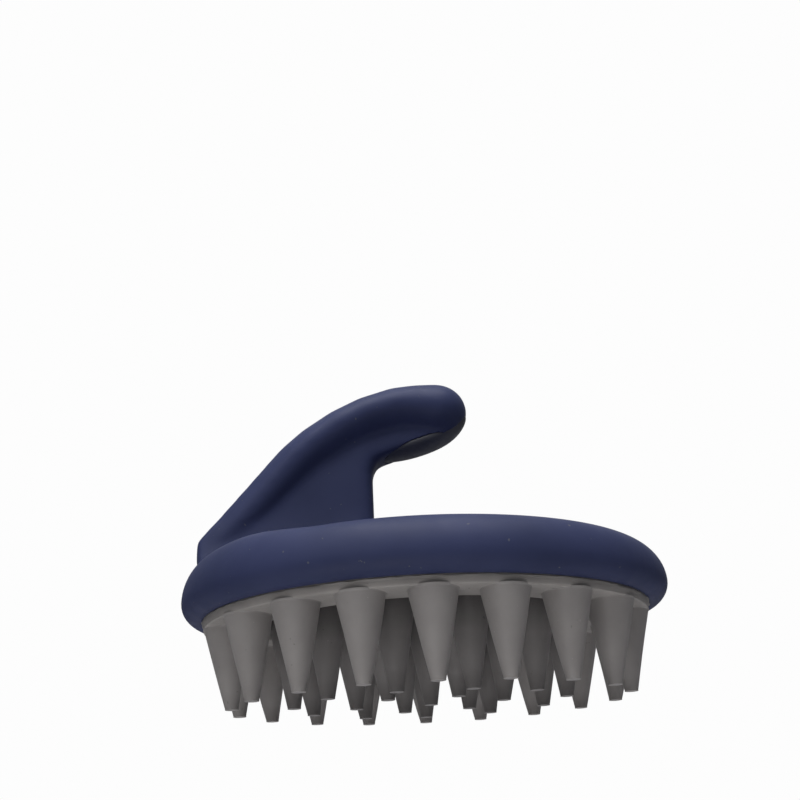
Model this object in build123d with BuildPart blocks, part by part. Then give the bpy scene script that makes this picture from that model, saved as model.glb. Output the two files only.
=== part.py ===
"""Scalp massager brush: an oval head with soft bristles below and a one-finger hook handle above.

Millimetres, +Z up. The origin is the centre of the plane of the bristle tips. The hook's nose
points to +X, its tail stands over the -X end of the head, and the brush is even about Y = 0.
"""
from math import cos, hypot, pi, radians, sin, tan
import os

from build123d import *

os.makedirs("parts", exist_ok=True)

# ---- Driving dimensions: head ----
head_length = 95.0          # over the soft rim, along X
head_width = 79.6           # over the soft rim, along Y
rim_lift = 3.6              # the rim is fullest this far above its lower lip
rim_radius = 7.1            # round shoulder of the rim
crown_rise = 1.2            # how far the top rises from the shoulder to the centre
cover_wall = 2.1            # soft cover over the shell
cover_side_wall = 2.3       # soft cover at the rim's fullest point
lip_inset = 3.8             # the rim's lower lip lies this far inside the widest line
lip_thickness = 0.8
shell_wall = 2.0

# ---- Driving dimensions: pad and bristles ----
bristle_length = 14.8       # outer row, from the pad's land to the tip
bristle_base_r = 4.4
bristle_tip_r = 1.2
bristle_lean = 1.0          # tips stand this much nearer the centre than the roots
land_edge = 2.2             # raised land's width inside the outer row's roots
land_height = 1.7           # how far the land stands out below the rim's lip
land_draft = 0.6            # the land is this much smaller at its face than at the lip
recess_depth = 2.5          # the pad's middle lies this much higher than its land
pad_floor = 1.9
flange_reach = 1.3          # the pad's flange behind the lip
outer_count, middle_count, inner_count = 18, 11, 6
root_gap = 0.8              # between the land's step and the middle row's roots
inner_share = 0.688         # where the inner row lies in the room inside the middle row
inner_narrowing = 0.943     # the two inner rows are this much narrower than the head's oval
outer_phase, middle_phase, inner_phase = 0.0, 0.5, 0.35   # in pitches from the -Y end

# ---- Driving dimensions: inside the head ----
carrier_thickness = 2.0
seal_width = 2.0
seal_height = 1.2
seal_inset = 1.2            # from the carrier's edge
seal_groove = 0.4           # the seal's seat in the shell's rib
boss_r = 3.2
boss_inset = 2.0            # from the seal's rib
boss_angle = 43.0           # degrees from the X axis
screw_r = 1.4
screw_head_r = 2.7
screw_head_h = 1.4
screw_edge = 0.45           # rounded rim of the head, and chamfer at the tip
screw_slot = 0.7            # width of the cross recess
screw_slot_depth = 0.8
screw_pad_r = 3.7           # flat pads under the shell's top, where the handle screws bear
carrier_screw_length = 5.0
handle_screw_length = 10.0
handle_screw_edge = 5.0     # from the ends of the core's foot

# ---- Driving dimensions: handle ----
tail_inset = 2.5            # upright back of the handle, from the head's end
shoulder_up = 5.2           # heights above the head's shoulder: top of the upright back,
knee_up = 25.2              # where the straight back turns into the crown,
crown_up = 38.5             # top of the hook,
throat_up = 22.6            # and where the underside would meet the web
knee_run = 17.0             # the straight back, measured along X
nose_radius = 8.7
hook_reach = 55.9           # front of the hook, measured from the upright back
web_length = 35.5           # web's foot, from the upright back to its front
throat_radius = 4.5         # inner corner between web and hook
underside_tilt = 12.8       # degrees
underside_length = 16.0
web_half = 5.0              # half thickness of the web
cap_flare = 3.0             # the hook's cap stands out this far from the web at its widest
cap_depth = 8.0             # depth of the cap below the crown
tail_flare = 0.6            # and this far at the tail
cap_widest = 45.0           # where the cap is widest, from the upright back
edge_round = 2.4
skin_wall = 1.6             # soft grip over the handle's core
insert_edge = 0.7           # skin beside the hook's insert
insert_depth = 1.8          # how deep the hook's insert sits
insert_bulge = 1.2          # how far it stands proud
tongue_tail = 8.0           # the core's foot starts this far in from the upright back
tongue_front = 3.5          # and ends this far behind the web's front
tongue_side = 0.2           # and is this much thinner than the core on each side
rib_half = 1.0              # ribs that stiffen the carrier
rib_height = 1.6

# ---- Clearances ----
part_gap = 0.1              # between mouldings
screw_gap = 0.05

# ---- Values that follow ----
half_length = head_length / 2
oval = head_width / head_length
land_z = bristle_length
recess_z = land_z + recess_depth
pad_top_z = recess_z + pad_floor
lip_r = half_length - lip_inset
lip_z = land_z + land_height
groove_z = lip_z + lip_thickness
rim_widest_z = lip_z + rim_lift
flange_r = lip_r + flange_reach
land_r = lip_r - land_draft
land_inner_r = land_r - 2 * bristle_base_r - land_edge
outer_row = land_r - bristle_base_r - bristle_lean
middle_row = land_inner_r - root_gap - bristle_base_r - bristle_lean
inner_room = middle_row + bristle_lean - 4 * bristle_base_r
inner_row = 2 * bristle_base_r + inner_room * inner_share - bristle_lean
inner_rows_ratio = oval * inner_narrowing
shoulder_r = half_length - rim_radius
rim_top_z = rim_widest_z + rim_radius
shell_r = half_length - cover_side_wall
shell_base_z = pad_top_z + part_gap
shell_top_z = rim_top_z - cover_wall
shell_inner_r = shell_r - shell_wall
ceiling_z = shell_top_z - shell_wall
carrier_r = shell_inner_r - part_gap
carrier_z = pad_top_z + part_gap
carrier_top_z = carrier_z + carrier_thickness
seal_top_z = carrier_top_z + seal_height
seal_r = carrier_r - seal_inset
rib_inner_r = seal_r - seal_width - seal_groove
boss_ring = rib_inner_r - boss_r - boss_inset
boss_x = boss_ring * cos(radians(boss_angle))
boss_y = boss_ring * oval * sin(radians(boss_angle))
tail_x = tail_inset - half_length
shoulder_z = rim_top_z + shoulder_up
knee_x = tail_x + knee_run
nose_x = tail_x + hook_reach
web_front_x = tail_x + web_length
cap_widest_x = tail_x + cap_widest
knee_z = rim_top_z + knee_up
crown_top_z = rim_top_z + crown_up
throat_z = rim_top_z + throat_up
cap_half = web_half + cap_flare
tail_half = web_half + tail_flare
insert_half = web_half - insert_edge
core_half = web_half - skin_wall
tongue_half = core_half - tongue_side
tongue_start_x = tail_x + tongue_tail
tongue_end_x = web_front_x - tongue_front
web_foot_z = shell_top_z       # the handle's outline runs down into the head and is cut by it


def oval_row(count, half_len, ratio, phase):
    """Points at equal steps of arc along an oval, counted from its -Y end."""
    steps = 3600
    turns = [2 * pi * i / steps for i in range(steps + 1)]
    points = [(half_len * sin(t), -half_len * ratio * cos(t)) for t in turns]
    run = [0.0]
    for a, b in zip(points, points[1:]):
        run.append(run[-1] + hypot(b[0] - a[0], b[1] - a[1]))
    row, i = [], 0
    for k in range(count):
        while run[i] < run[-1] * (k + phase) / count:
            i += 1
        row.append(points[i])
    return row


def ring_box(r_in, r_out, z_low, z_high):
    """A plain rectangle of a round section, for a disc or a ring about Z."""
    with Locations(((r_in + r_out) / 2, (z_low + z_high) / 2)):
        Rectangle(r_out - r_in, z_high - z_low)


def make_oval():
    """Turn the section about Z, then narrow the result along Y."""
    revolve(axis=Axis.Z)
    scale(by=(1, oval, 1))


# ---- Envelopes: solids that the pieces are cut from, and cut to ----
with BuildPart() as cover_envelope:
    with BuildSketch(Plane.XZ):
        with BuildLine():
            Line((0, lip_z), (lip_r, lip_z))
            TangentArc((half_length, rim_widest_z), (lip_r, lip_z), tangent=(0, -1))
            TangentArc((half_length, rim_widest_z), (shoulder_r, rim_top_z), tangent=(0, 1))
            TangentArc((0, rim_top_z + crown_rise), (shoulder_r, rim_top_z), tangent=(1, 0))
            Line((0, rim_top_z + crown_rise), (0, lip_z))
        make_face()
    make_oval()

with BuildPart() as shell_envelope:
    with BuildSketch(Plane.XZ):
        with BuildLine():
            Polyline((0, shell_top_z + crown_rise), (0, shell_base_z), (shell_r, shell_base_z))
            TangentArc((shell_r, shell_base_z), (shoulder_r, shell_top_z), tangent=(0, 1))
            TangentArc((0, shell_top_z + crown_rise), (shoulder_r, shell_top_z), tangent=(1, 0))
        make_face()
    make_oval()

with BuildPart() as shell_hollow:
    with BuildSketch(Plane.XZ):
        with BuildLine():
            Polyline(
                (0, ceiling_z + crown_rise),
                (0, shell_base_z),
                (shell_inner_r, shell_base_z),
                (shell_inner_r, carrier_top_z),
            )
            TangentArc((shell_inner_r, carrier_top_z), (shoulder_r, ceiling_z), tangent=(0, 1))
            TangentArc((0, ceiling_z + crown_rise), (shoulder_r, ceiling_z), tangent=(1, 0))
        make_face()
    make_oval()

# ---- Silicone pad: land, thinner middle, and a flange that snaps in behind the rim's lip ----
with BuildPart() as silicone_pad:
    with BuildSketch(Plane.XZ):
        with BuildLine():
            Polyline(
                (0, recess_z),
                (land_inner_r, recess_z),
                (land_inner_r, land_z),
                (land_r, land_z),
                (lip_r - part_gap, lip_z),
                (lip_r - part_gap, groove_z + part_gap),
                (flange_r, groove_z + part_gap),
                (flange_r, pad_top_z),
                (0, pad_top_z),
                close=True,
            )
        make_face()
    make_oval()
silicone_pad.part.label = "silicone_pad"
export_step(silicone_pad.part, "parts/silicone_pad.step")


# ---- Bristles: one cone each, leaning in a little, cut flat at the tip ----
def bristle(tip, root, root_z):
    """A cone from the pad's face at root_z down to the plane of the tips."""
    with BuildPart() as cone:
        with BuildSketch(Plane.XY):
            with Locations(tip):
                Circle(bristle_tip_r)
        with BuildSketch(Plane.XY.offset(root_z)):
            with Locations(root):
                Circle(bristle_base_r)
        loft()
    return cone.part


def bristle_row(count, tip_half, ratio, phase, root_z):
    """Cones at equal steps along an oval."""
    tips = oval_row(count, tip_half, ratio, phase)
    roots = oval_row(count, tip_half + bristle_lean, ratio, phase)
    return [bristle(tip, root, root_z) for tip, root in zip(tips, roots)]


outer_cones = bristle_row(outer_count, outer_row, oval, outer_phase, land_z)
middle_cones = bristle_row(middle_count, middle_row, inner_rows_ratio, middle_phase, recess_z)
inner_cones = bristle_row(inner_count, inner_row, inner_rows_ratio, inner_phase, recess_z)

with BuildPart() as outer_bristles:
    add(outer_cones)
outer_bristles.part.label = "outer_bristles"
export_step(outer_bristles.part, "parts/outer_bristles.step")

with BuildPart() as middle_bristles:
    add(middle_cones)
middle_bristles.part.label = "middle_bristles"
export_step(middle_bristles.part, "parts/middle_bristles.step")

with BuildPart() as inner_bristles:
    add(inner_cones)
inner_bristles.part.label = "inner_bristles"
export_step(inner_bristles.part, "parts/inner_bristles.step")

with BuildPart() as centre_bristle:
    with BuildSketch(Plane.XY):
        Circle(bristle_tip_r)
    with BuildSketch(Plane.XY.offset(recess_z)):
        Circle(bristle_base_r)
    loft()
centre_bristle.part.label = "centre_bristle"
export_step(centre_bristle.part, "parts/centre_bristle.step")

# ---- Handle outline, in the XZ plane ----
nose_z = crown_top_z - nose_radius
nose_top_x = nose_x - nose_radius
climb = tan(radians(underside_tilt))
seam_end = (web_front_x + underside_length, throat_z + underside_length * climb)


def draw_crown():
    """The handle's back, crown and nose, in the active line builder."""
    back_edge = Line((tail_x, shoulder_z), (knee_x, knee_z))
    TangentArc((knee_x, knee_z), (nose_top_x, crown_top_z), tangent=back_edge % 1)
    TangentArc((nose_top_x, crown_top_z), (nose_x, nose_z), tangent=(1, 0))


with BuildLine(Plane.XZ) as crown_line:
    draw_crown()

with BuildSketch(Plane.XZ) as handle_outline:
    with BuildLine():
        draw_crown()
        Line((tail_x, web_foot_z), (tail_x, shoulder_z))
        Spline((nose_x, nose_z), seam_end, tangents=((0, -1), (-1, -climb)))
        FilletPolyline(
            seam_end, (web_front_x, throat_z), (web_front_x, web_foot_z), radius=throat_radius
        )
        Line((web_front_x, web_foot_z), (tail_x, web_foot_z))
    make_face()

# ---- Hook insert: firm dark pad let into the underside of the hook ----
insert_root_x = web_front_x + throat_radius / 2
with BuildPart() as hook_insert:
    with BuildSketch(Plane.XZ):
        with BuildLine():
            lower = Spline(
                (insert_root_x, throat_z + (insert_root_x - web_front_x) * climb),
                (
                    web_front_x + underside_length / 2,
                    throat_z + underside_length / 2 * climb - insert_bulge,
                ),
                (seam_end[0], seam_end[1] - insert_bulge / 2),
                (nose_x - part_gap, nose_z),
            )
            upper_end = (nose_x - insert_depth, nose_z + insert_depth)
            upper_mid = (seam_end[0] - insert_depth / 2, seam_end[1] + insert_depth)
            upper_root = (
                insert_root_x + insert_depth,
                throat_z + (insert_root_x - web_front_x) * climb + insert_depth,
            )
            Polyline(lower @ 1, upper_end, upper_mid, upper_root, lower @ 0)
        make_face()
    extrude(amount=insert_half, both=True)
hook_insert.part.label = "hook_insert"
export_step(hook_insert.part, "parts/hook_insert.step")

# ---- Handle core: stiff spine with a tongue that stands on the shell ----
screw_xs = [tongue_start_x + handle_screw_edge, tongue_end_x - handle_screw_edge]
with BuildPart() as core_blank:
    with BuildSketch(Plane.XZ):
        add(handle_outline.sketch_local)
        offset(amount=-skin_wall, mode=Mode.REPLACE)
    extrude(amount=core_half, both=True)
    add(cover_envelope.part, mode=Mode.SUBTRACT)
    with BuildSketch(Plane.XZ):
        with BuildLine():
            Polyline(
                (tongue_start_x, shell_top_z),
                (tongue_start_x, shoulder_z),
                (tongue_end_x, shoulder_z),
                (tongue_end_x, shell_top_z),
                close=True,
            )
        make_face()
    extrude(amount=tongue_half, both=True)
    add(shell_envelope.part, mode=Mode.SUBTRACT)
    add(hook_insert.part, mode=Mode.SUBTRACT)

with BuildPart() as handle_core:
    add(core_blank.part)
    with BuildSketch(Plane.XY.offset(ceiling_z)):
        with Locations(*[(x, 0) for x in screw_xs]):
            Circle(screw_r + screw_gap)
    extrude(amount=handle_screw_length + part_gap, mode=Mode.SUBTRACT)
handle_core.part.label = "handle_core"
export_step(handle_core.part, "parts/handle_core.step")

# ---- Handle grip: soft skin round the core, flared into a cap over the hook ----
crown_path = crown_line.wires()[0]
with BuildPart() as cap:
    with BuildSketch(Plane(origin=crown_path @ 0, x_dir=(0, 1, 0), z_dir=crown_path % 0)):
        with Locations((0, -cap_depth / 2)):
            RectangleRounded(2 * cap_half, cap_depth, edge_round)
    sweep(path=crown_path)
    with BuildSketch(Plane.XY):
        with BuildLine():
            side = Spline(
                (tail_x - part_gap, -tail_half),
                (cap_widest_x, -cap_half),
                (nose_x + part_gap, 0),
                tangents=((1, 0), (0, 1)),
            )
            mirror(side, about=Plane.XZ)
            Line((tail_x - part_gap, -tail_half), (tail_x - part_gap, tail_half))
        make_face()
    extrude(amount=crown_top_z + cap_depth, mode=Mode.INTERSECT)

with BuildPart() as handle_grip:
    with BuildSketch(Plane.XZ):
        add(handle_outline.sketch_local)
    extrude(amount=web_half, both=True)
    fillet(handle_grip.faces().sort_by(Axis.Y)[0].edges(), edge_round)
    fillet(handle_grip.faces().sort_by(Axis.Y)[-1].edges(), edge_round)
    add(cap.part)
    add(cover_envelope.part, mode=Mode.SUBTRACT)
    add(core_blank.part, mode=Mode.SUBTRACT)
    add(hook_insert.part, mode=Mode.SUBTRACT)
handle_grip.part.label = "handle_grip"
export_step(handle_grip.part, "parts/handle_grip.step")

# ---- Shell: stiff upper housing with screw bosses and a rib that seats the seal ----
with BuildPart() as seal_rib:
    with BuildSketch(Plane.XZ):
        ring_box(
            rib_inner_r,
            seal_r + seal_groove,
            seal_top_z,
            ceiling_z + crown_rise,
        )
    make_oval()

boss_places = [(x, y) for x in (-boss_x, boss_x) for y in (-boss_y, boss_y)]
with BuildPart() as top_shell:
    add(shell_envelope.part)
    add(shell_hollow.part, mode=Mode.SUBTRACT)
    add(seal_rib.part & shell_envelope.part)
    with BuildSketch(Plane.XY.offset(carrier_top_z)):
        with Locations(*boss_places):
            Circle(boss_r)
    extrude(amount=ceiling_z + shell_wall / 2 - carrier_top_z)
    with BuildSketch(Plane.XY.offset(carrier_top_z)):
        with Locations(*boss_places):
            Circle(screw_r + screw_gap)
    extrude(amount=carrier_screw_length - carrier_thickness + part_gap, mode=Mode.SUBTRACT)
    with BuildSketch(Plane.XY.offset(ceiling_z)):
        with Locations(*[(x, 0) for x in screw_xs]):
            Circle(screw_pad_r)
    extrude(amount=shell_wall)
    with BuildSketch(Plane.XY.offset(ceiling_z - part_gap)):
        with Locations(*[(x, 0) for x in screw_xs]):
            Circle(screw_r + screw_gap)
    extrude(amount=shell_wall + crown_rise + shell_wall, mode=Mode.SUBTRACT)
top_shell.part.label = "top_shell"
export_step(top_shell.part, "parts/top_shell.step")

# ---- Soft cover: rim and top of the head, moulded over the shell, hooked in below ----
with BuildPart() as cover_mouth:
    with BuildSketch(Plane.XZ):
        with BuildLine():
            Polyline(
                (0, lip_z),
                (lip_r, lip_z),
                (lip_r, groove_z),
                (flange_r + part_gap, groove_z),
                (flange_r + part_gap, shell_base_z),
                (0, shell_base_z),
                close=True,
            )
        make_face()
    make_oval()

with BuildPart() as soft_cover:
    add(cover_envelope.part)
    add(cover_mouth.part, mode=Mode.SUBTRACT)
    add(shell_envelope.part, mode=Mode.SUBTRACT)
    with BuildSketch(Plane.XY.offset(shell_top_z)):
        with Locations(((tongue_start_x + tongue_end_x) / 2, 0)):
            Rectangle(
                tongue_end_x - tongue_start_x + 2 * part_gap, 2 * (tongue_half + part_gap)
            )
    extrude(amount=rim_radius, mode=Mode.SUBTRACT)
soft_cover.part.label = "soft_cover"
export_step(soft_cover.part, "parts/soft_cover.step")

# ---- Seal: flat ring squeezed between the carrier and the shell's rib ----
with BuildPart() as head_seal:
    with BuildSketch(Plane.XZ):
        ring_box(seal_r - seal_width, seal_r, carrier_top_z, seal_top_z)
    make_oval()
head_seal.part.label = "head_seal"
export_step(head_seal.part, "parts/head_seal.step")

# ---- Carrier: stiff plate behind the pad, ribbed, with countersunk screw holes ----
with BuildPart() as carrier_disc:
    with BuildSketch(Plane.XZ):
        ring_box(0, carrier_r, carrier_z, carrier_top_z)
    make_oval()

with BuildPart() as pad_carrier:
    add(carrier_disc.part)
    with BuildSketch(Plane.XY.offset(carrier_top_z)):
        Rectangle(2 * (boss_x - boss_r - rib_half), 2 * rib_half)
        Rectangle(2 * rib_half, 2 * (boss_y + boss_r))
    extrude(amount=rib_height)
    with BuildSketch(Plane.XY.offset(carrier_top_z)):
        with Locations(*[(x, 0) for x in screw_xs]):
            Circle(screw_pad_r + part_gap)
    extrude(amount=rib_height, mode=Mode.SUBTRACT)
    with Locations(*[(x, y, carrier_z) for x, y in boss_places]):
        Cylinder(
            screw_head_r + screw_gap,
            screw_head_h + screw_gap,
            align=(Align.CENTER, Align.CENTER, Align.MIN),
            mode=Mode.SUBTRACT,
        )
        Cylinder(
            screw_r + screw_gap,
            carrier_thickness,
            align=(Align.CENTER, Align.CENTER, Align.MIN),
            mode=Mode.SUBTRACT,
        )
pad_carrier.part.label = "pad_carrier"
export_step(pad_carrier.part, "parts/pad_carrier.step")


# ---- Screws: pan heads with a cross recess ----
def screw(length):
    """One screw with its head's top at the origin, pointing up."""
    with BuildPart() as body:
        with BuildSketch(Plane.XY):
            Circle(screw_head_r)
        extrude(amount=screw_head_h)
        fillet(body.edges().sort_by(Axis.Z)[0], screw_edge)
        with BuildSketch(Plane.XY.offset(screw_head_h)):
            Circle(screw_r)
        extrude(amount=length - screw_head_h)
        chamfer(body.edges().sort_by(Axis.Z)[-1], screw_edge)
        with BuildSketch(Plane.XY):
            Rectangle(screw_head_r, screw_slot)
            Rectangle(screw_slot, screw_head_r)
        extrude(amount=screw_slot_depth, mode=Mode.SUBTRACT)
    return body.part


carrier_screw = screw(carrier_screw_length)
with BuildPart() as carrier_screws:
    with Locations(*[(x, y, carrier_z) for x, y in boss_places]):
        add(carrier_screw)
carrier_screws.part.label = "carrier_screws"
export_step(carrier_screws.part, "parts/carrier_screws.step")

handle_screw = screw(handle_screw_length + screw_head_h)
with BuildPart() as handle_screws:
    with Locations(*[(x, 0, ceiling_z - screw_head_h) for x in screw_xs]):
        add(handle_screw)
handle_screws.part.label = "handle_screws"
export_step(handle_screws.part, "parts/handle_screws.step")
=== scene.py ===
"""Scalp massager brush: an oval head in a soft navy cover, a grey silicone pad with thirty-six
bristles, and a one-finger hook handle. Metres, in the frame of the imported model: the origin
is the centre of the plane of the bristle tips, and the hook's nose points to +X.
"""
import random
from math import cos, hypot, pi, radians, sin

import bmesh
import bpy
from mathutils import Matrix, Quaternion, Vector


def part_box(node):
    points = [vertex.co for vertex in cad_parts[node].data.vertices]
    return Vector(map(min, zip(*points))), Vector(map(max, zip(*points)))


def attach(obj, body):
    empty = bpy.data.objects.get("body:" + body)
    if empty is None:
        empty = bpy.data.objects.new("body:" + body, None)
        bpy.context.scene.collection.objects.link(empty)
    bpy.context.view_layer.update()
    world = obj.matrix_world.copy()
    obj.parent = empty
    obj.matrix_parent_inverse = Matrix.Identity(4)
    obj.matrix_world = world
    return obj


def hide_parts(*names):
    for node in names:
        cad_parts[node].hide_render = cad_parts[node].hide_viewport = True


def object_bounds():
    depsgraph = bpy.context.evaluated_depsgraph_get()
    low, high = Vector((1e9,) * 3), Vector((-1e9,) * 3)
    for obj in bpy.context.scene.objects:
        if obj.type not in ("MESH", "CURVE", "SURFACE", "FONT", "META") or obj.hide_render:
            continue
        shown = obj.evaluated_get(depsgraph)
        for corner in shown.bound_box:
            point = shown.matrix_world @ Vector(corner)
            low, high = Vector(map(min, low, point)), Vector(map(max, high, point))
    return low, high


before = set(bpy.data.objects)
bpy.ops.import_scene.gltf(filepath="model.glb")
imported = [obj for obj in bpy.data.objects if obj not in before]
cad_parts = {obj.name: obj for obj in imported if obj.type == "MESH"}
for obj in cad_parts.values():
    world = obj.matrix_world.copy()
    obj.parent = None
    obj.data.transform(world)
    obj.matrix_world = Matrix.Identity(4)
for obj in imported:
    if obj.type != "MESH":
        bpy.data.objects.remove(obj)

cad_low, cad_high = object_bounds()
scene = bpy.context.scene
mm = 0.001

# ---- View ----
# The brush is held a little above the eye, nearly side on, so the eye looks up under the
# rim at the rows of bristles. A lens a little longer than normal keeps its shape true.
eye = Vector((-9.44, -203.71, -24.22)) * mm
looks_at = Vector((-2.9, 0.0, 63.5)) * mm
roll = radians(-2.885)
camera_data = bpy.data.cameras.new("view")
camera_data.lens = 46.5
camera_data.sensor_width = 36.0
camera_data.clip_start = 5 * mm
camera_data.clip_end = 30.0
camera = bpy.data.objects.new("view", camera_data)
camera.rotation_mode = "QUATERNION"
camera.location = eye
aim = (looks_at - eye).to_track_quat("-Z", "Y")
camera.rotation_quaternion = aim @ Quaternion((0, 0, 1), roll)
scene.collection.objects.link(camera)
scene.camera = camera

# ---- Studio ----
# A pale table well below the brush, a white room that is darker low down, one large soft lamp
# overhead and weaker ones in front, below and behind, so the top of every curve is lightest.
table_z = -0.30
table_r = 3.0
stage_bm = bmesh.new()
bmesh.ops.create_circle(stage_bm, cap_ends=True, segments=96, radius=table_r)
bmesh.ops.translate(stage_bm, verts=stage_bm.verts, vec=(0, 0, table_z))
stage_mesh = bpy.data.meshes.new("table")
stage_bm.to_mesh(stage_mesh)
stage_bm.free()
table = bpy.data.objects.new("table", stage_mesh)
scene.collection.objects.link(table)
table_paint = bpy.data.materials.new("table_paint")
table_paint.use_nodes = True
table_shader = table_paint.node_tree.nodes["Principled BSDF"]
table_shader.inputs["Base Color"].default_value = (0.72, 0.72, 0.73, 1)
table_shader.inputs["Roughness"].default_value = 0.9
stage_mesh.materials.append(table_paint)

room = bpy.data.worlds.new("white_room")
room.use_nodes = True
scene.world = room
room_nodes, room_links = room.node_tree.nodes, room.node_tree.links
room_nodes.clear()
room_out = room_nodes.new("ShaderNodeOutputWorld")
room_mix = room_nodes.new("ShaderNodeMixShader")
room_ray = room_nodes.new("ShaderNodeLightPath")
room_wall = room_nodes.new("ShaderNodeBackground")
room_wall.inputs["Color"].default_value = (0.982, 0.982, 0.982, 1)
room_glow = room_nodes.new("ShaderNodeBackground")
room_glow.inputs["Strength"].default_value = 1.0
room_place = room_nodes.new("ShaderNodeTexCoord")
room_split = room_nodes.new("ShaderNodeSeparateXYZ")
room_height = room_nodes.new("ShaderNodeMapRange")
room_height.inputs["From Min"].default_value = -1.0
room_ramp = room_nodes.new("ShaderNodeValToRGB")
room_ramp.color_ramp.elements[0].position = 0.50
room_ramp.color_ramp.elements[0].color = (0.030, 0.030, 0.032, 1)
room_ramp.color_ramp.elements[1].position = 0.95
room_ramp.color_ramp.elements[1].color = (0.34, 0.345, 0.36, 1)
room_links.new(room_place.outputs["Generated"], room_split.inputs[0])
room_links.new(room_split.outputs["Z"], room_height.inputs["Value"])
room_links.new(room_height.outputs["Result"], room_ramp.inputs["Fac"])
room_links.new(room_ramp.outputs["Color"], room_glow.inputs["Color"])
room_links.new(room_ray.outputs["Is Camera Ray"], room_mix.inputs["Fac"])
room_links.new(room_glow.outputs[0], room_mix.inputs[1])
room_links.new(room_wall.outputs[0], room_mix.inputs[2])
room_links.new(room_mix.outputs[0], room_out.inputs["Surface"])


def soft_lamp(name, place, size, power, tint):
    """A square soft lamp at place, aimed at the middle of the brush."""
    lamp_data = bpy.data.lights.new(name, "AREA")
    lamp_data.size = size
    lamp_data.energy = power
    lamp_data.color = tint
    lamp = bpy.data.objects.new(name, lamp_data)
    lamp.location = place
    middle = (cad_low + cad_high) / 2
    lamp.rotation_euler = (middle - Vector(place)).to_track_quat("-Z", "Y").to_euler()
    lamp.visible_camera = False
    scene.collection.objects.link(lamp)


soft_lamp("lamp_over", (0.0, -0.13, 0.42), 0.35, 1.9, (1.0, 1.0, 1.0))
soft_lamp("lamp_front", (-0.34, -0.60, 0.50), 0.5, 1.3, (1.0, 1.0, 1.0))
soft_lamp("lamp_low", (-0.10, -0.26, -0.25), 0.22, 0.36, (1.0, 0.985, 0.97))
soft_lamp("lamp_back", (0.10, 0.90, 0.40), 1.0, 1.0, (1.0, 1.0, 1.0))

scene.view_settings.view_transform = "Standard"
scene.view_settings.look = "None"

# ---- Silicone pad ----
# One moulding of grey silicone: a raised land round the edge that carries the outer bristles,
# a thinner middle, and a flange that snaps in behind the rim's lip. A rough line of flash
# runs along the joint, where the mould closed.
pad_low, pad_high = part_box("silicone_pad")
head_low, head_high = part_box("soft_cover")
oval = (head_high.y - head_low.y) / (head_high.x - head_low.x)
land_z = pad_low.z
flange_r = pad_high.x
recess_depth = 2.5 * mm
flange_reach = 1.9 * mm
land_width = 11.0 * mm
recess_z = land_z + recess_depth
lip_z = head_low.z
land_r = flange_r - flange_reach
land_inner_r = land_r - land_width
head_turns = 192


def chain(bm, points):
    """A run of edges through (radius, height) points in the XZ plane. Returns its vertices."""
    verts = [bm.verts.new((x, 0, z)) for x, z in points]
    for a, b in zip(verts, verts[1:]):
        bm.edges.new((a, b))
    return verts


def spin_oval(bm, turns):
    """Turn the section about Z into a closed body, then narrow it along Y."""
    bmesh.ops.spin(
        bm, geom=bm.verts[:] + bm.edges[:], cent=(0, 0, 0), axis=(0, 0, 1),
        angle=2 * pi, steps=turns, use_merge=True, use_duplicate=False,
    )
    bmesh.ops.remove_doubles(bm, verts=bm.verts, dist=0.005 * mm)
    bmesh.ops.scale(bm, vec=(1, oval, 1), verts=bm.verts)
    bmesh.ops.recalc_face_normals(bm, faces=bm.faces)


def finish_mesh(bm, name, sharp=30.0):
    """Make the named object from bm, shaded smooth except along edges sharper than this."""
    for face in bm.faces:
        face.smooth = True
    mesh = bpy.data.meshes.new(name)
    for edge in bm.edges:
        if len(edge.link_faces) == 2 and edge.calc_face_angle(0) > radians(sharp):
            edge.smooth = False
    bm.to_mesh(mesh)
    bm.free()
    piece = bpy.data.objects.new(name, mesh)
    scene.collection.objects.link(piece)
    return piece


pad_bm = bmesh.new()
chain(pad_bm, [
    (0, recess_z),
    (land_inner_r - 0.5 * mm, recess_z),
    (land_inner_r - 0.1 * mm, recess_z - 0.2 * mm),
    (land_inner_r, recess_z - 0.5 * mm),
    (land_inner_r + 0.1 * mm, land_z + 0.4 * mm),
    (land_inner_r + 0.4 * mm, land_z + 0.05 * mm),
    (land_inner_r + 0.9 * mm, land_z),
    (land_r - 0.6 * mm, land_z),
    (land_r - 0.12 * mm, land_z + 0.02 * mm),
    (land_r + 0.04 * mm, land_z + 0.14 * mm),
    (land_r + 0.10 * mm, land_z + 0.45 * mm),
    (land_r + 0.22 * mm, land_z + 1.0 * mm),
    (land_r + 0.40 * mm, land_z + 1.3 * mm),
    (land_r + 0.46 * mm, land_z + 1.5 * mm),
    (land_r + 0.30 * mm, land_z + 1.75 * mm),
    (land_r + 0.45 * mm, lip_z + 0.9 * mm),
    (flange_r, lip_z + 0.9 * mm),
    (flange_r, pad_high.z),
    (0, pad_high.z),
])
spin_oval(pad_bm, head_turns)
dice = random.Random(7)
for v in pad_bm.verts:
    radius = hypot(v.co.x, v.co.y / oval)
    on_flash = land_r + 0.3 * mm < radius < flange_r - 0.5 * mm and v.co.z < lip_z
    if on_flash:
        push = 1 + dice.uniform(-0.16, 0.10) * mm / radius
        v.co.x *= push
        v.co.y *= push
        v.co.z += dice.uniform(-0.12, 0.08) * mm
pad = finish_mesh(pad_bm, "silicone_pad_skin", 40.0)
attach(pad, "root")
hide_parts("silicone_pad")


def new_finish(name, roughness):
    """A node material on Object coordinates. Returns it, a maker of nodes, links and shader."""
    finish = bpy.data.materials.new(name)
    finish.use_nodes = True
    tree = finish.node_tree
    shader = tree.nodes["Principled BSDF"]
    shader.inputs["Roughness"].default_value = roughness
    place = tree.nodes.new("ShaderNodeTexCoord")
    return finish, tree, shader, place.outputs["Object"]


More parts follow.
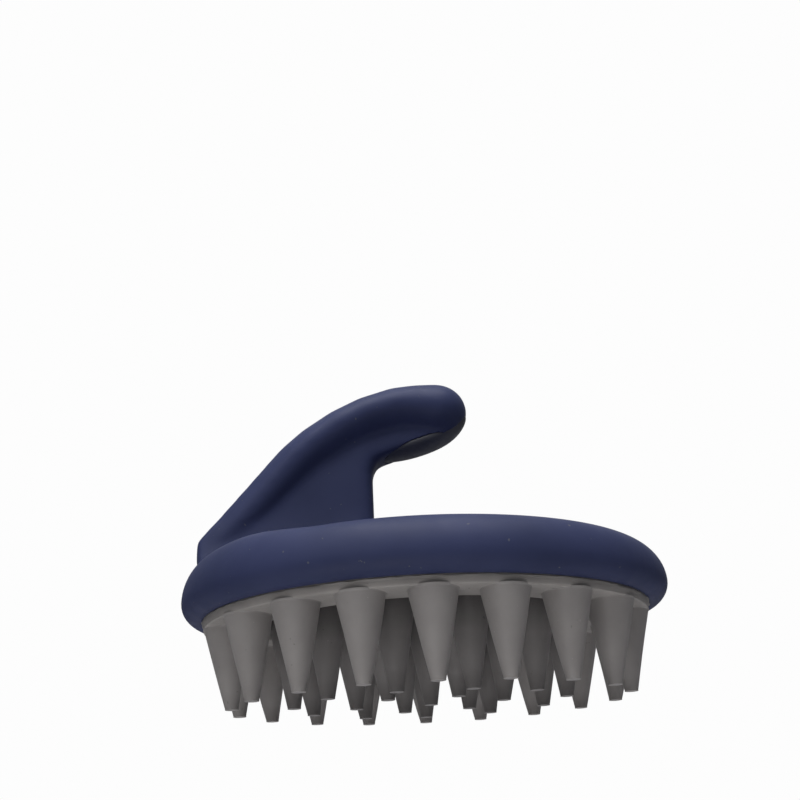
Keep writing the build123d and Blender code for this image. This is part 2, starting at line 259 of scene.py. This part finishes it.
def grain(tree, place, scale, detail, rough):
    """Noise with this many cells a metre."""
    node = tree.nodes.new("ShaderNodeTexNoise")
    node.inputs["Scale"].default_value = scale
    node.inputs["Detail"].default_value = detail
    node.inputs["Roughness"].default_value = rough
    tree.links.new(place, node.inputs["Vector"])
    return node.outputs["Fac"]


def ramp(tree, fac, stops):
    """Colour by value: stops are (value, colour) pairs."""
    node = tree.nodes.new("ShaderNodeValToRGB")
    node.color_ramp.elements[0].position = stops[0][0]
    node.color_ramp.elements[0].color = (*stops[0][1], 1)
    node.color_ramp.elements[1].position = stops[-1][0]
    node.color_ramp.elements[1].color = (*stops[-1][1], 1)
    for position, colour in stops[1:-1]:
        node.color_ramp.elements.new(position).color = (*colour, 1)
    tree.links.new(fac, node.inputs["Fac"])
    return node.outputs["Color"]


def blend_colour(tree, fac, below, above, way="MIX"):
    """One colour over another, where fac says."""
    node = tree.nodes.new("ShaderNodeMix")
    node.data_type = "RGBA"
    node.blend_type = way
    tree.links.new(fac, node.inputs[0])
    for socket, colour in ((node.inputs[6], below), (node.inputs[7], above)):
        if isinstance(colour, tuple):
            socket.default_value = (*colour, 1)
        else:
            tree.links.new(colour, socket)
    return node.outputs[2]


def spread(tree, value, low, high, to_low, to_high):
    """A value stretched from one range to another."""
    node = tree.nodes.new("ShaderNodeMapRange")
    node.inputs["From Min"].default_value = low
    node.inputs["From Max"].default_value = high
    node.inputs["To Min"].default_value = to_low
    node.inputs["To Max"].default_value = to_high
    tree.links.new(value, node.inputs["Value"])
    return node.outputs["Result"]


def bump(tree, shader, layers):
    """Small relief: (height, strength, depth in metres) layers, one on the other."""
    normal = None
    for height, strength, depth in layers:
        node = tree.nodes.new("ShaderNodeBump")
        node.inputs["Strength"].default_value = strength
        node.inputs["Distance"].default_value = depth
        tree.links.new(height, node.inputs["Height"])
        if normal is not None:
            tree.links.new(normal, node.inputs["Normal"])
        normal = node.outputs["Normal"]
    tree.links.new(normal, shader.inputs["Normal"])


def silicone(name, dark, light, pits, shade, shade_from):
    """Grey silicone with cloudy colour, a fine skin, specks, and pits with painted shade this much
    darker. Painted shade grows with height from shade_from to the face of the pad's middle, up to
    the share shade."""
    finish, tree, shader, place = new_finish(name, 0.5)
    clouds = grain(tree, place, 140, 4, 0.55)
    fine = grain(tree, place, 1500, 3, 0.6)
    colour = ramp(tree, clouds, [(0.30, dark), (0.70, light)])
    specks = ramp(tree, fine, [(0.70, (0, 0, 0)), (0.76, (1, 1, 1))])
    dusted = blend_colour(tree, specks, colour, tuple(min(1, c * 1.25) for c in light))
    # Painted shade of pits: small spots painted darker, as the pits have no relief of their own.
    painted_pit_shade = ramp(tree, grain(tree, place, 900, 2, 0.5), [(0.21, (1, 1, 1)), (0.27, (0, 0, 0))])
    pitted = blend_colour(tree, painted_pit_shade, dusted, tuple(c * (1 - pits) for c in dark))
    # Painted shade: the colour darkens with height towards the pad's middle and the bristles'
    # roots.
    if shade:
        split = tree.nodes.new("ShaderNodeSeparateXYZ")
        tree.links.new(place, split.inputs[0])
        depth = spread(tree, split.outputs["Z"], shade_from, recess_z, 0.0, shade)
        pitted = blend_colour(tree, depth, pitted, tuple(0.2 * c for c in dark))
    tree.links.new(pitted, shader.inputs["Base Color"])
    tree.links.new(
        spread(tree, grain(tree, place, 420, 3, 0.6), 0.3, 0.7, 0.44, 0.62),
        shader.inputs["Roughness"],
    )
    shader.inputs["Subsurface Weight"].default_value = 0.08
    shader.inputs["Subsurface Radius"].default_value = (1.2 * mm, 1.0 * mm, 0.9 * mm)
    shader.inputs["Subsurface Scale"].default_value = 1.0
    shader.inputs["Sheen Weight"].default_value = 0.08
    shader.inputs["Sheen Roughness"].default_value = 0.5
    bump(tree, shader, [
        (fine, 0.25, 0.08 * mm),
        (clouds, 0.2, 0.3 * mm),
    ])
    return finish


# The pad's middle gets painted shade, darkest at the face of its recess between the bristles.
pad_silicone = silicone(
    "pad_silicone", (0.27, 0.254, 0.242), (0.34, 0.318, 0.303), 0.75, 0.95, land_z + 0.3 * mm
)
pad.data.materials.append(pad_silicone)

# ---- Bristles ----
# Soft cones in three oval rows and one in the centre, moulded with the pad. Each has a small
# fillet at its root, a fine parting line down one side, and a thin burr round its cut tip.
outer_silicone = silicone(
    "outer_silicone", (0.25, 0.235, 0.229), (0.29, 0.274, 0.266), 0.3, 0.0, land_z
)
# The middle and inner rows and the centre bristle use a darker copy of the same silicone with
# painted shade deepening towards their roots: both are painted shade among the rows.
inner_silicone_painted_shade = silicone(
    "inner_silicone_painted_shade", (0.17, 0.160, 0.157), (0.20, 0.189, 0.185), 0.3, 0.85, land_z - 5.0 * mm
)
root_r = 4.4 * mm
tip_r = 1.2 * mm
lean = 1.0 * mm
row_oval = 0.79


def oval_row(count, half_length, ratio, phase):
    """Points at equal steps of arc along an oval, counted from its -Y end."""
    steps = 3600
    turns = [2 * pi * i / steps for i in range(steps + 1)]
    points = [(half_length * sin(t), -half_length * ratio * cos(t)) for t in turns]
    run = [0.0]
    for a, b in zip(points, points[1:]):
        run.append(run[-1] + hypot(b[0] - a[0], b[1] - a[1]))
    row, i = [], 0
    for k in range(count):
        while run[i] < run[-1] * (k + phase) / count:
            i += 1
        row.append(points[i])
    return row


def grow_ring(bm, edges):
    """Extrude a closed ring of edges on the spot. Returns its new vertices and edges."""
    grown = bmesh.ops.extrude_edge_only(bm, edges=edges)["geom"]
    verts = [g for g in grown if isinstance(g, bmesh.types.BMVert)]
    ring = set(verts)
    edges = [
        g for g in grown if isinstance(g, bmesh.types.BMEdge) and all(v in ring for v in g.verts)
    ]
    return verts, edges


def grow_bristle(bm, tip, root, root_z, dice):
    """One cone from its cut tip up to root_z, bent a little at the tip."""
    start = len(bm.verts)
    end_z = dice.uniform(0.02, 0.14) * mm
    bend = Vector((dice.uniform(-0.3, 0.3), dice.uniform(-0.3, 0.3), 0)) * mm
    slope = (root_r - tip_r) / root_z
    levels = [
        (end_z, tip_r + 0.05 * mm),
        (end_z + 0.08 * mm, tip_r + 0.05 * mm),
        (end_z + 0.13 * mm, tip_r + 0.02 * mm),
        (0.22 * root_z, tip_r + 0.22 * root_z * slope),
        (0.45 * root_z, tip_r + 0.45 * root_z * slope),
        (0.70 * root_z, tip_r + 0.70 * root_z * slope),
        (root_z - 0.30 * mm, root_r - 0.30 * mm * slope),
        (root_z - 0.08 * mm, root_r + 0.01 * mm),
        (root_z + 0.02 * mm, root_r + 0.10 * mm),
        (root_z + 0.25 * mm, root_r + 0.14 * mm),
    ]
    ring = bmesh.ops.create_circle(bm, cap_ends=True, segments=40, radius=levels[0][1])["verts"]
    edges = list(ring[0].link_faces[0].edges)
    z, r = levels[0]
    for v in ring:
        v.co.z = z
    for next_z, next_r in levels[1:]:
        ring, edges = grow_ring(bm, edges)
        bmesh.ops.scale(bm, vec=(next_r / r, next_r / r, 1), verts=ring)
        bmesh.ops.translate(bm, vec=(0, 0, next_z - z), verts=ring)
        z, r = next_z, next_r
    bmesh.ops.edgeloop_fill(bm, edges=edges)
    bm.verts.ensure_lookup_table()
    made = bm.verts[start:]
    seam = dice.uniform(-0.25, 0.15)
    for v in made:
        out = Vector((v.co.x, v.co.y, 0))
        turn = abs(out.angle(Vector((cos(seam), sin(seam), 0)), 0)) if out.length > 0 else pi
        if turn < 0.08 and v.co.z < root_z - 0.6 * mm:
            v.co += out.normalized() * 0.07 * mm
        share = v.co.z / root_z
        v.co += Vector(tip) * (1 - share) + Vector(root) * share + bend * (1 - share) ** 3


def bristle_row(name, node, count, half_length, ratio, phase, root_z, seed, finish):
    """A row of bristles as one piece that stands for its CAD node."""
    dice = random.Random(seed)
    bm = bmesh.new()
    tips = oval_row(count, half_length, ratio, phase)
    roots = oval_row(count, half_length + lean, ratio, phase)
    for tip, root in zip(tips, roots):
        grow_bristle(bm, (*tip, 0), (*root, 0), root_z, dice)
    bmesh.ops.recalc_face_normals(bm, faces=bm.faces)
    row = finish_mesh(bm, name, 50.0)
    row.data.materials.append(finish)
    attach(row, "root")
    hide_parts(node)


outer_half = land_r - root_r - lean
middle_half = land_inner_r - root_r - lean - 0.8 * mm
inner_half = middle_half * 0.548
bristle_row(
    "bristles_outer", "outer_bristles", 18, outer_half, oval, 0.0, land_z, 11, outer_silicone
)
bristle_row(
    "bristles_middle", "middle_bristles", 11, middle_half, row_oval, 0.5, recess_z, 12,
    inner_silicone_painted_shade,
)
bristle_row(
    "bristles_inner", "inner_bristles", 6, inner_half, row_oval, 0.35, recess_z, 13,
    inner_silicone_painted_shade,
)
centre_bm = bmesh.new()
grow_bristle(centre_bm, (0, 0, 0), (0, 0, 0), recess_z, random.Random(14))
bmesh.ops.recalc_face_normals(centre_bm, faces=centre_bm.faces)
centre = finish_mesh(centre_bm, "bristle_centre", 50.0)
centre.data.materials.append(inner_silicone_painted_shade)
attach(centre, "root")
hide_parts("centre_bristle")

# ---- Soft cover ----
# A matt navy rubber skin moulded over the head's stiff shell: a fat rounded rim, a nearly
# flat top that swells a little under the handle's tail, and a thin lip hooked in below.
head_r = head_high.x
rim_lift = 3.6 * mm
rim_r = 7.1 * mm
crown_rise = 1.2 * mm
lip_inset = 3.8 * mm
tail_swell = 1.3 * mm
swell_start_x = -18 * mm
swell_run = 16 * mm
widest_z = lip_z + rim_lift
shoulder_r = head_r - rim_r
top_z = widest_z + rim_r
lip_r = head_r - lip_inset


def arc(bm, start, centre, angle, steps):
    """An arc of edges in the XZ plane, turned from the start about the centre. Returns its end."""
    first = bm.verts.new((start[0], 0, start[1]))
    made = bmesh.ops.spin(
        bm, geom=[first], cent=(centre[0], 0, centre[1]), axis=(0, 1, 0),
        angle=angle, steps=steps, use_merge=False, use_duplicate=False,
    )
    return next(g for g in made["geom_last"] if isinstance(g, bmesh.types.BMVert))


def swell_top(bm):
    """Lift the head's upper side a little towards the handle's tail."""
    for v in bm.verts:
        along = min(1.0, max(0.0, (swell_start_x - v.co.x) / swell_run))
        height = min(1.0, max(0.0, (v.co.z - widest_z) / rim_r))
        v.co.z += tail_swell * (3 * along ** 2 - 2 * along ** 3) * height


def rim_profile(bm):
    """The head's outer line, from the lip round the rim to the middle of the top. Returns the
    vertex at the lip."""
    bead_c = (lip_r ** 2 + rim_lift ** 2 - head_r ** 2) / (2 * (lip_r - head_r))
    drop = pi - abs(Vector((-1, 0)).angle(Vector((lip_r - bead_c, -rim_lift))))
    lip_end = arc(bm, (head_r, widest_z), (bead_c, widest_z), drop, 10)
    run = arc(bm, (head_r, widest_z), (shoulder_r, widest_z), -pi / 2, 26)
    top_steps = 12
    for i in range(1, top_steps + 1):
        share = 1 - i / top_steps
        v = bm.verts.new((shoulder_r * share, 0, top_z + crown_rise * (1 - share ** 2)))
        bm.edges.new((run, v))
        run = v
    return lip_end


cover_bm = bmesh.new()
lip_end = rim_profile(cover_bm)
inside = chain(cover_bm, [
    (lip_r - 0.25 * mm, lip_z + 0.05 * mm),
    (lip_r - 0.30 * mm, lip_z + 0.8 * mm),
    (flange_r + 0.1 * mm, lip_z + 0.8 * mm),
    (flange_r + 0.1 * mm, pad_high.z + 0.1 * mm),
    (head_r - 2.25 * mm, pad_high.z + 0.1 * mm),
    (head_r - 2.5 * mm, pad_high.z + 1.9 * mm),
    (head_r - 3.2 * mm, pad_high.z + 3.5 * mm),
    (head_r - 4.2 * mm, pad_high.z + 4.75 * mm),
    (head_r - 5.6 * mm, pad_high.z + 5.6 * mm),
    (shoulder_r, top_z - 2.05 * mm),
    (0.75 * shoulder_r, top_z - 1.52 * mm),
    (0.50 * shoulder_r, top_z - 1.15 * mm),
    (0.25 * shoulder_r, top_z - 0.92 * mm),
    (0, top_z - 0.85 * mm),
])
cover_bm.edges.new((lip_end, inside[0]))
spin_oval(cover_bm, head_turns)
swell_top(cover_bm)
cover = finish_mesh(cover_bm, "head_cover", 35.0)
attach(cover, "root")
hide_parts("soft_cover")


form_bm = bmesh.new()
rim_profile(form_bm)
spin_oval(form_bm, head_turns)
bmesh.ops.holes_fill(form_bm, edges=form_bm.edges, sides=0)
bmesh.ops.recalc_face_normals(form_bm, faces=form_bm.faces)
swell_top(form_bm)
head_form = finish_mesh(form_bm, "head_form", 180.0)


def soft_touch(name, deep, pale):
    """Matt soft-touch rubber: a slight bloom, a fine even grain, dust and rubbed patches."""
    finish, tree, shader, place = new_finish(name, 0.55)
    clouds = grain(tree, place, 60, 4, 0.5)
    fine = grain(tree, place, 2600, 2, 0.6)
    colour = ramp(tree, clouds, [(0.32, deep), (0.68, pale)])
    dust = ramp(tree, grain(tree, place, 900, 2, 0.4), [(0.745, (0, 0, 0)), (0.77, (1, 1, 1))])
    dusted = blend_colour(tree, dust, colour, (0.09, 0.095, 0.13))
    tree.links.new(dusted, shader.inputs["Base Color"])
    tree.links.new(
        spread(tree, grain(tree, place, 180, 3, 0.6), 0.3, 0.7, 0.46, 0.60),
        shader.inputs["Roughness"],
    )
    shader.inputs["Specular IOR Level"].default_value = 0.15
    shader.inputs["Sheen Weight"].default_value = 0.03
    shader.inputs["Sheen Roughness"].default_value = 0.4
    shader.inputs["Sheen Tint"].default_value = (0.55, 0.6, 0.9, 1)
    bump(tree, shader, [
        (fine, 0.18, 0.05 * mm),
        (grain(tree, place, 300, 3, 0.5), 0.10, 0.12 * mm),
    ])
    return finish


navy = soft_touch("navy_soft_touch_rubber", (0.029, 0.037, 0.091), (0.038, 0.047, 0.113))
cover.data.materials.append(navy)

# ---- Hook insert ----
# A firm dark rubber pad let into the underside of the hook, where the finger pulls. It is
# proud of the skin and rounded at both ends, with a fine gap all round.
insert_line = [
    # x, z on the pad's face, slope in degrees, half width, half depth, in millimetres
    (-6.9, 49.75, 5.0, 1.0, 0.4),
    (-6.3, 49.65, 5.0, 2.6, 1.0),
    (-4.8, 49.85, 8.0, 3.7, 1.4),
    (-1.6, 50.35, 11.0, 4.3, 1.6),
    (2.2, 51.35, 17.0, 4.4, 1.7),
    (5.8, 52.75, 27.0, 4.3, 1.7),
    (8.6, 54.55, 42.0, 4.0, 1.6),
    (10.4, 56.7, 58.0, 3.3, 1.3),
    (11.0, 58.3, 72.0, 2.2, 0.9),
    (10.9, 59.2, 80.0, 1.0, 0.4),
]
below, above = -1, 1


def ring_matrix(station, side, grow):
    """Place for a unit circle that touches the station's line from below or from above."""
    x, z, slope, half_width, half_depth = station
    in_x = side * half_depth * sin(radians(slope))
    in_z = -side * half_depth * cos(radians(slope))
    turn = Matrix.Rotation(radians(-slope), 4, "Y") @ Matrix.Rotation(pi / 2, 4, "Y")
    size = Matrix.Diagonal(((half_depth + grow) * mm, (half_width + grow) * mm, 1, 1))
    return Matrix.Translation(((x + in_x) * mm, 0, (z + in_z) * mm)) @ turn @ size


def sweep_rings(bm, stations, side, segments, grow=0.0):
    """Extrude a ring from station to station, and close both ends. The stations' line is the
    outer edge of the swept body: its top for side above, its underside for side below."""
    first = ring_matrix(stations[0], side, grow)
    ring = bmesh.ops.create_circle(bm, cap_ends=True, segments=segments, radius=1.0)["verts"]
    edges = list(ring[0].link_faces[0].edges)
    bmesh.ops.transform(bm, matrix=first, verts=ring)
    last = first
    for station in stations[1:]:
        ring, edges = grow_ring(bm, edges)
        place = ring_matrix(station, side, grow)
        bmesh.ops.transform(bm, matrix=place @ last.inverted(), verts=ring)
        last = place
    bmesh.ops.edgeloop_fill(bm, edges=edges)


def round_off(piece):
    """Two rounds of subdivision."""
    modifier = piece.modifiers.new("round", "SUBSURF")
    modifier.levels = 2
    modifier.render_levels = 2


insert_bm = bmesh.new()
sweep_rings(insert_bm, insert_line, below, 32)
bmesh.ops.recalc_face_normals(insert_bm, faces=insert_bm.faces)
insert = finish_mesh(insert_bm, "hook_pad", 60.0)
round_off(insert)
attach(insert, "root")
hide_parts("hook_insert")


def plain_finish(name, clouds, dark, light, gloss, skin, metallic=0.0):
    """A plain surface, from dark to light in clouds (cells a metre, detail, rough), with uneven
    gloss (cells a metre, low and high roughness) and a skin (cells, detail, strength, depth)."""
    finish, tree, shader, place = new_finish(name, gloss[1])
    shader.inputs["Metallic"].default_value = metallic
    colour = ramp(tree, grain(tree, place, *clouds), [(0.3, dark), (0.7, light)])
    tree.links.new(colour, shader.inputs["Base Color"])
    patches = spread(tree, grain(tree, place, gloss[0], 3, 0.6), 0.3, 0.7, gloss[1], gloss[2])
    tree.links.new(patches, shader.inputs["Roughness"])
    bump(tree, shader, [(grain(tree, place, skin[0], skin[1], 0.6), skin[2], skin[3])])
    return finish


insert.data.materials.append(plain_finish(
    "hook_pad_rubber", (220, 4, 0.6), (0.050, 0.052, 0.066), (0.066, 0.069, 0.086),
    (500, 0.45, 0.6), (1800, 3, 0.25, 0.06 * mm),
))

# ---- Handle ----
# The same navy rubber over a stiff core: a flat web that stands on the head, and a rounded
# cap along its back that widens into the hook's nose. The web runs out into the head's top.
web_half = 4.5
cap_line = [
    # x, z on the crown, slope, half width, half depth, in millimetres
    (-43.9, 33.4, 50.0, 4.9, 3.0),
    (-41.0, 37.0, 50.0, 5.2, 3.8),
    (-36.5, 42.7, 50.0, 6.0, 4.4),
    (-32.0, 48.1, 50.0, 6.9, 4.6),
    (-28.0, 52.7, 46.0, 7.6, 4.7),
    (-24.0, 56.1, 37.0, 8.1, 4.7),
    (-18.0, 60.0, 29.0, 8.5, 4.7),
    (-12.0, 62.9, 22.0, 8.6, 4.8),
    (-5.0, 65.1, 12.0, 8.5, 5.1),
    (0.0, 65.75, 4.0, 8.2, 5.6),
    (4.3, 65.85, 0.0, 8.0, 6.0),
]
nose_middle = (4.3, 0.0, 59.8)
nose_radii = (6.8, 8.0, 6.05)
front_round = 2.4
foot_sink = 0.1
voxel = 0.42
insert_gap_width = 0.16
web_outline = [
    # x, z of the web's corners in millimetres, clockwise from the tail's foot
    (-44.7, 27.7), (-44.7, 32.7), (-28.6, 51.2), (-21.0, 56.2), (-11.0, 60.4),
    (0.0, 62.5), (6.0, 61.0), (9.8, 57.6), (8.4, 55.4), (5.4, 53.4), (0.0, 51.9),
    (-4.0, 50.8), (-6.6, 49.9), (-8.6, 48.4), (-9.4, 46.3), (-9.4, 34.0), (-9.4, 29.0),
    (-9.4, 24.0), (-37.2, 24.0), (-37.6, 29.2), (-41.0, 28.6),
]
handle_bm = bmesh.new()
sweep_rings(handle_bm, cap_line, above, 40)
nose = bmesh.ops.create_uvsphere(handle_bm, u_segments=48, v_segments=32, radius=1.0)["verts"]
bmesh.ops.scale(handle_bm, vec=[r * mm for r in nose_radii], verts=nose)
bmesh.ops.translate(handle_bm, vec=[c * mm for c in nose_middle], verts=nose)
web_verts = [handle_bm.verts.new((x * mm, -web_half * mm, z * mm)) for x, z in web_outline]
web_face = handle_bm.faces.new(web_verts)
web_grown = bmesh.ops.extrude_face_region(handle_bm, geom=[web_face])["geom"]
bmesh.ops.translate(
    handle_bm, vec=(0, 2 * web_half * mm, 0),
    verts=[g for g in web_grown if isinstance(g, bmesh.types.BMVert)],
)
front_edges = [
    e for e in handle_bm.edges
    if all(-9.5 * mm < v.co.x < -6.0 * mm and v.co.z < 50.5 * mm for v in e.verts)
    and abs(e.verts[0].co.y - e.verts[1].co.y) < 0.1 * mm
    and abs(abs(e.verts[0].co.y) - web_half * mm) < 0.1 * mm
    and len(e.link_faces) == 2
]
bmesh.ops.bevel(
    handle_bm, geom=front_edges, offset=front_round * mm, offset_type="OFFSET", affect="EDGES",
    segments=5, profile=0.5, material=-1,
)
skirt = [
    # height, back, front and half thickness of the web's foot, in millimetres
    (24.0, -44.2, -9.6, 6.4),
    (28.2, -44.2, -9.6, 6.0),
    (29.6, -44.3, -10.8, 5.5),
    (32.0, -44.3, -11.6, 5.0),
    (36.0, -41.8, -12.2, 4.6),
    (42.0, -36.4, -12.2, 4.3),
]
skirt_ring = bmesh.ops.create_circle(handle_bm, cap_ends=True, segments=4, radius=1.0)["verts"]
skirt_edges = list(skirt_ring[0].link_faces[0].edges)
for level, (height, back, front, half) in enumerate(skirt):
    if level > 0:
        skirt_ring, skirt_edges = grow_ring(handle_bm, skirt_edges)
    skirt_ring.sort(key=lambda v: (v.co.x, v.co.y))
    corners = ((back, -half), (back, half), (front, -half), (front, half))
    for v, (x, y) in zip(skirt_ring, corners):
        v.co = (x * mm, y * mm, height * mm)
bmesh.ops.edgeloop_fill(handle_bm, edges=skirt_edges)
foot_bm = bmesh.new()
foot_bm.from_mesh(head_form.data)
foot_sides = (
    ((-36.5, 0, 0), (-1, 0, 0)), ((-1, 0, 0), (1, 0, 0)), ((0, 15, 0), (0, 1, 0)),
    ((0, -15, 0), (0, -1, 0)), ((0, 0, 24), (0, 0, -1)),
)
for point, outward in foot_sides:
    bmesh.ops.bisect_plane(
        foot_bm, geom=foot_bm.verts[:] + foot_bm.edges[:] + foot_bm.faces[:],
        plane_co=[c * mm for c in point], plane_no=outward, clear_outer=True,
    )
    bmesh.ops.holes_fill(foot_bm, edges=foot_bm.edges, sides=0)
bmesh.ops.translate(foot_bm, vec=(0, 0, -foot_sink * mm), verts=foot_bm.verts)
foot_mesh = bpy.data.meshes.new("foot")
foot_bm.to_mesh(foot_mesh)
foot_bm.free()
handle_bm.from_mesh(foot_mesh)
bpy.data.meshes.remove(foot_mesh)
bmesh.ops.recalc_face_normals(handle_bm, faces=handle_bm.faces)
handle = finish_mesh(handle_bm, "handle_skin", 180.0)


def apply_modifier(piece, name, kind, settings):
    """Add one modifier with these settings and apply it to the mesh."""
    modifier = piece.modifiers.new(name, kind)
    for key, value in settings.items():
        setattr(modifier, key, value)
    graph = bpy.context.evaluated_depsgraph_get()
    mesh = bpy.data.meshes.new_from_object(piece.evaluated_get(graph))
    piece.modifiers.clear()
    old = piece.data
    piece.data = mesh
    bpy.data.meshes.remove(old)


apply_modifier(handle, "skin", "REMESH", {"mode": "VOXEL", "voxel_size": voxel * mm})
apply_modifier(handle, "soften", "SMOOTH", {"factor": 0.5, "iterations": 34})

gap_bm = bmesh.new()
sweep_rings(gap_bm, insert_line, below, 32, grow=insert_gap_width)
bmesh.ops.recalc_face_normals(gap_bm, faces=gap_bm.faces)
insert_gap = finish_mesh(gap_bm, "insert_gap", 180.0)
round_off(insert_gap)

for name, cutter in (("foot", head_form), ("seat", insert_gap)):
    apply_modifier(
        handle, name, "BOOLEAN", {"operation": "DIFFERENCE", "object": cutter, "solver": "EXACT"}
    )
    bpy.data.objects.remove(cutter)
for polygon in handle.data.polygons:
    polygon.use_smooth = True
handle.data.materials.clear()
handle.data.materials.append(navy)
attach(handle, "root")
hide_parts("handle_grip")

# ---- Stiff mouldings inside: shell, carrier and handle core ----
# Dark glass-filled plastic, hidden by the rubber. The shell carries the cover and the handle,
# the carrier holds the pad, and the core is the handle's spine.


def paint_nodes(nodes, finish):
    """Give the carried-over nodes this finish."""
    for node in nodes:
        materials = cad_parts[node].data.materials
        materials.clear()
        materials.append(finish)


plastic = plain_finish(
    "core_plastic_grained", (160, 4, 0.55), (0.018, 0.019, 0.022), (0.032, 0.033, 0.037),
    (700, 0.36, 0.55), (2200, 2, 0.2, 0.04 * mm),
)
paint_nodes(("top_shell", "pad_carrier", "handle_core"), plastic)

# ---- Seal ----
# A flat black rubber ring, squeezed between the carrier and the shell's rib to keep water out.
seal_rubber = plain_finish(
    "seal_rubber_black", (300, 4, 0.6), (0.010, 0.010, 0.011), (0.022, 0.022, 0.023),
    (500, 0.7, 0.7), (1600, 3, 0.3, 0.06 * mm),
)
paint_nodes(("head_seal",), seal_rubber)

# ---- Screws ----
# Short zinc-plated screws with cross recesses: four hold the carrier to the shell's bosses,
# and two hold the handle's core.
steel = plain_finish(
    "screw_zinc", (900, 4, 0.6), (0.42, 0.42, 0.40), (0.62, 0.62, 0.60),
    (1400, 0.22, 0.42), (3000, 2, 0.15, 0.02 * mm), metallic=1.0,
)
paint_nodes(("carrier_screws", "handle_screws"), steel)
